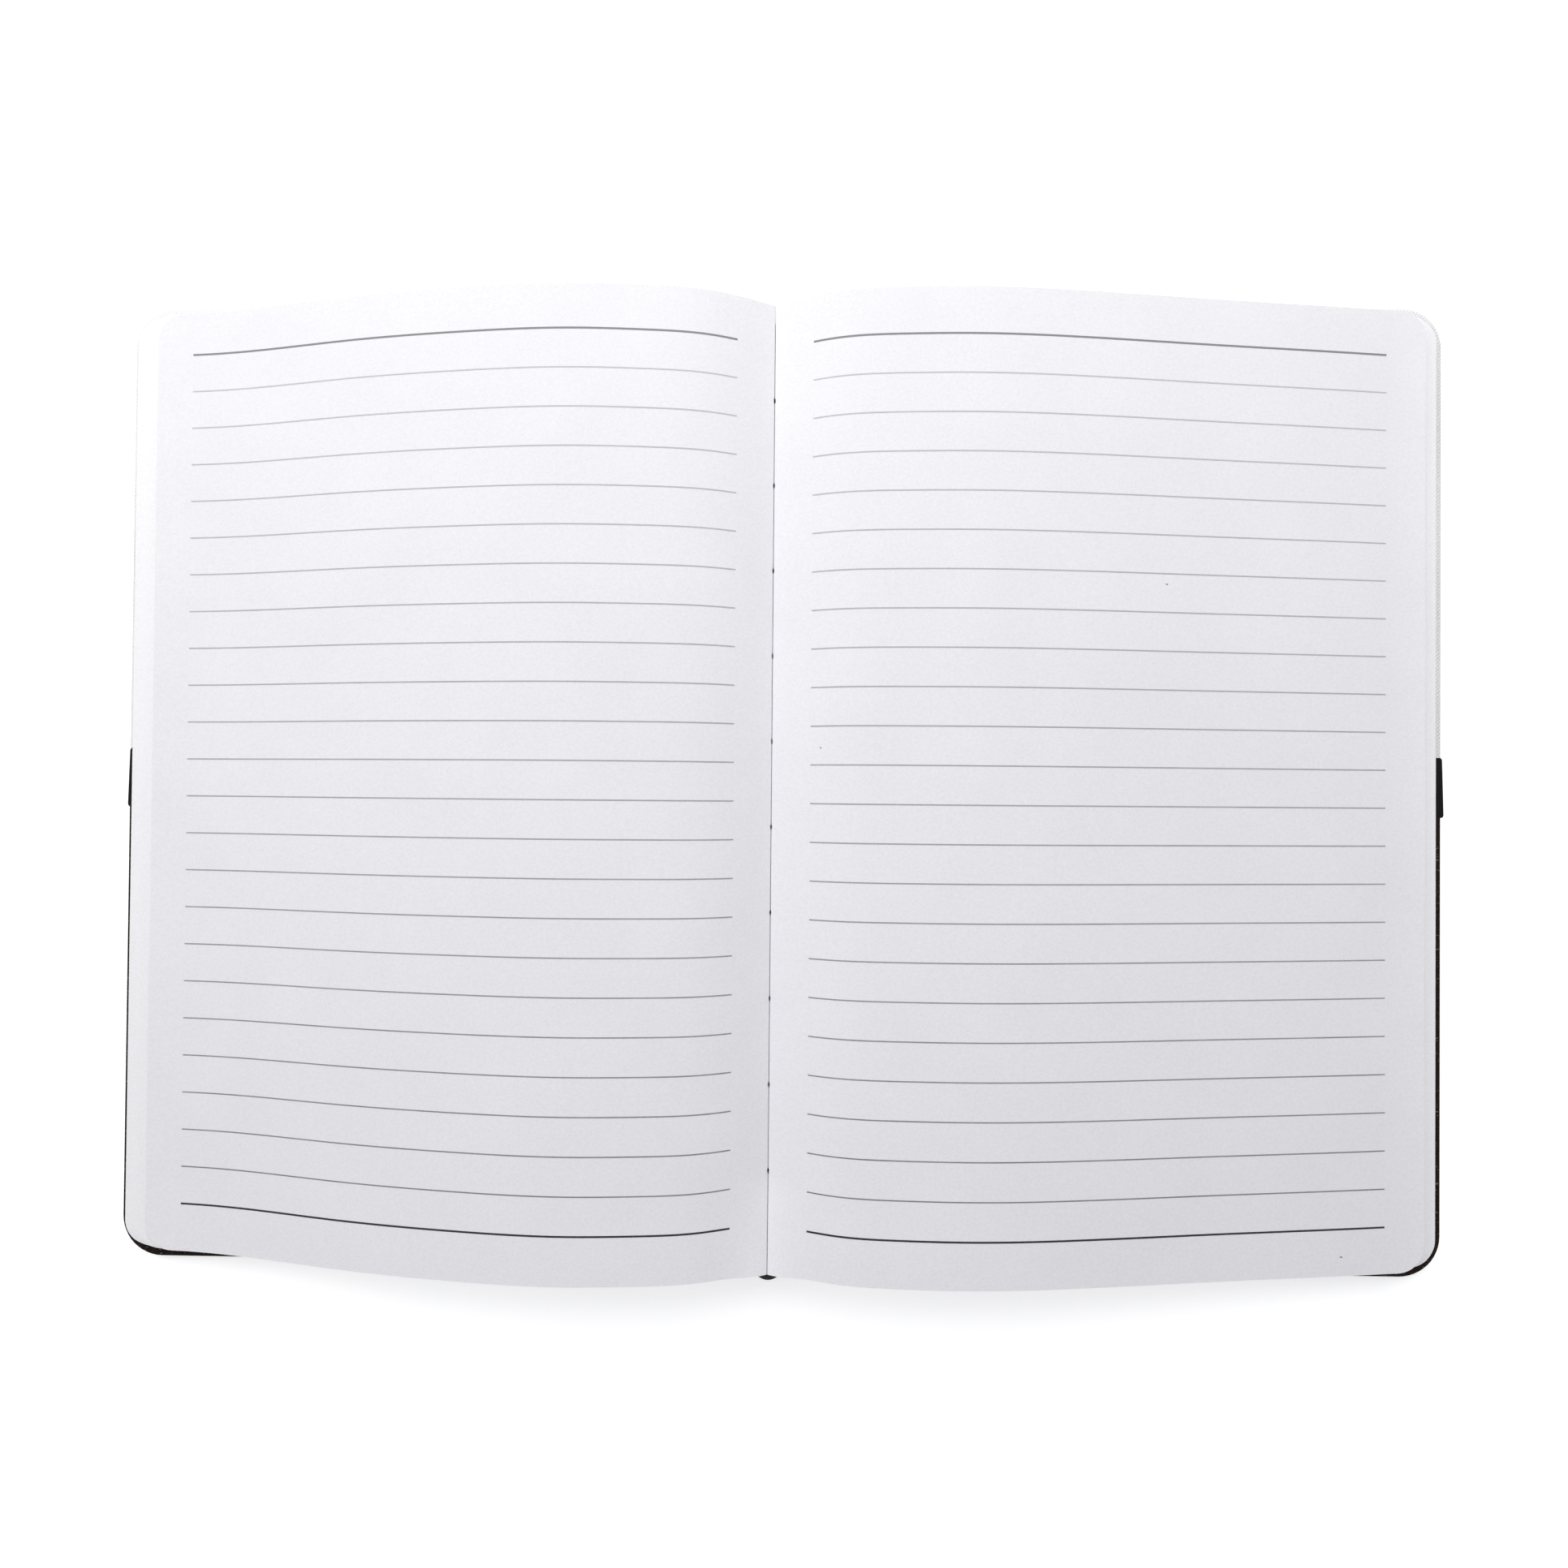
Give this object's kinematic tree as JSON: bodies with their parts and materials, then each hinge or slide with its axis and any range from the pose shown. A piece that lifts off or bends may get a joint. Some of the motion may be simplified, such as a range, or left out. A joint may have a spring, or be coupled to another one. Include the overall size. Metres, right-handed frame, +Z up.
{
  "type": "open composition notebook",
  "caption": "Open ruled notebook lying flat: sewn page block with humped pages in a hard two-tone cloth case with hinged covers.",
  "frame": {"origin": "under the middle of the spine, on the plane that the notebook lies on", "axes": "+X to the right across the open pages, +Y to the head of the pages, +Z up out of the pages"},
  "size_m": [0.2892, 0.2154, 0.0149],
  "materials": {
    "page_paper": "smooth uncoated",
    "endpaper": "smooth uncoated",
    "thread": "waxed thread",
    "light_cloth": "woven book cloth",
    "dark_cloth": "heathered woven book cloth",
    "black_ribbon": "woven ribbon",
    "board": "grey board",
    "lining": "crepe lining"
  },
  "bodies": {
    "spine_and_pages": {"page_block": "page_paper", "sewing_thread": "thread", "spine_cloth_upper": "light_cloth", "spine_cloth_lower": "dark_cloth", "spine_band": "black_ribbon", "spine_strip": "board", "spine_lining": "lining"},
    "front_cover": {"front_cloth_upper": "light_cloth", "front_cloth_lower": "dark_cloth", "front_band": "black_ribbon", "front_board": "board", "front_pastedown": "endpaper"},
    "back_cover": {"back_cloth_upper": "light_cloth", "back_cloth_lower": "dark_cloth", "back_band": "black_ribbon", "back_board": "board", "back_pastedown": "endpaper"}
  },
  "joints": [
    {"name": "front_cover_hinge", "type": "hinge", "parent": "spine_and_pages", "child": "front_cover", "pos_m": [-0.0056, 0, 0], "axis": [0, -1, 0], "range_deg": [0, 90]},
    {"name": "back_cover_hinge", "type": "hinge", "parent": "spine_and_pages", "child": "back_cover", "pos_m": [0.0056, 0, 0], "axis": [0, 1, 0], "range_deg": [0, 90]}
  ]
}
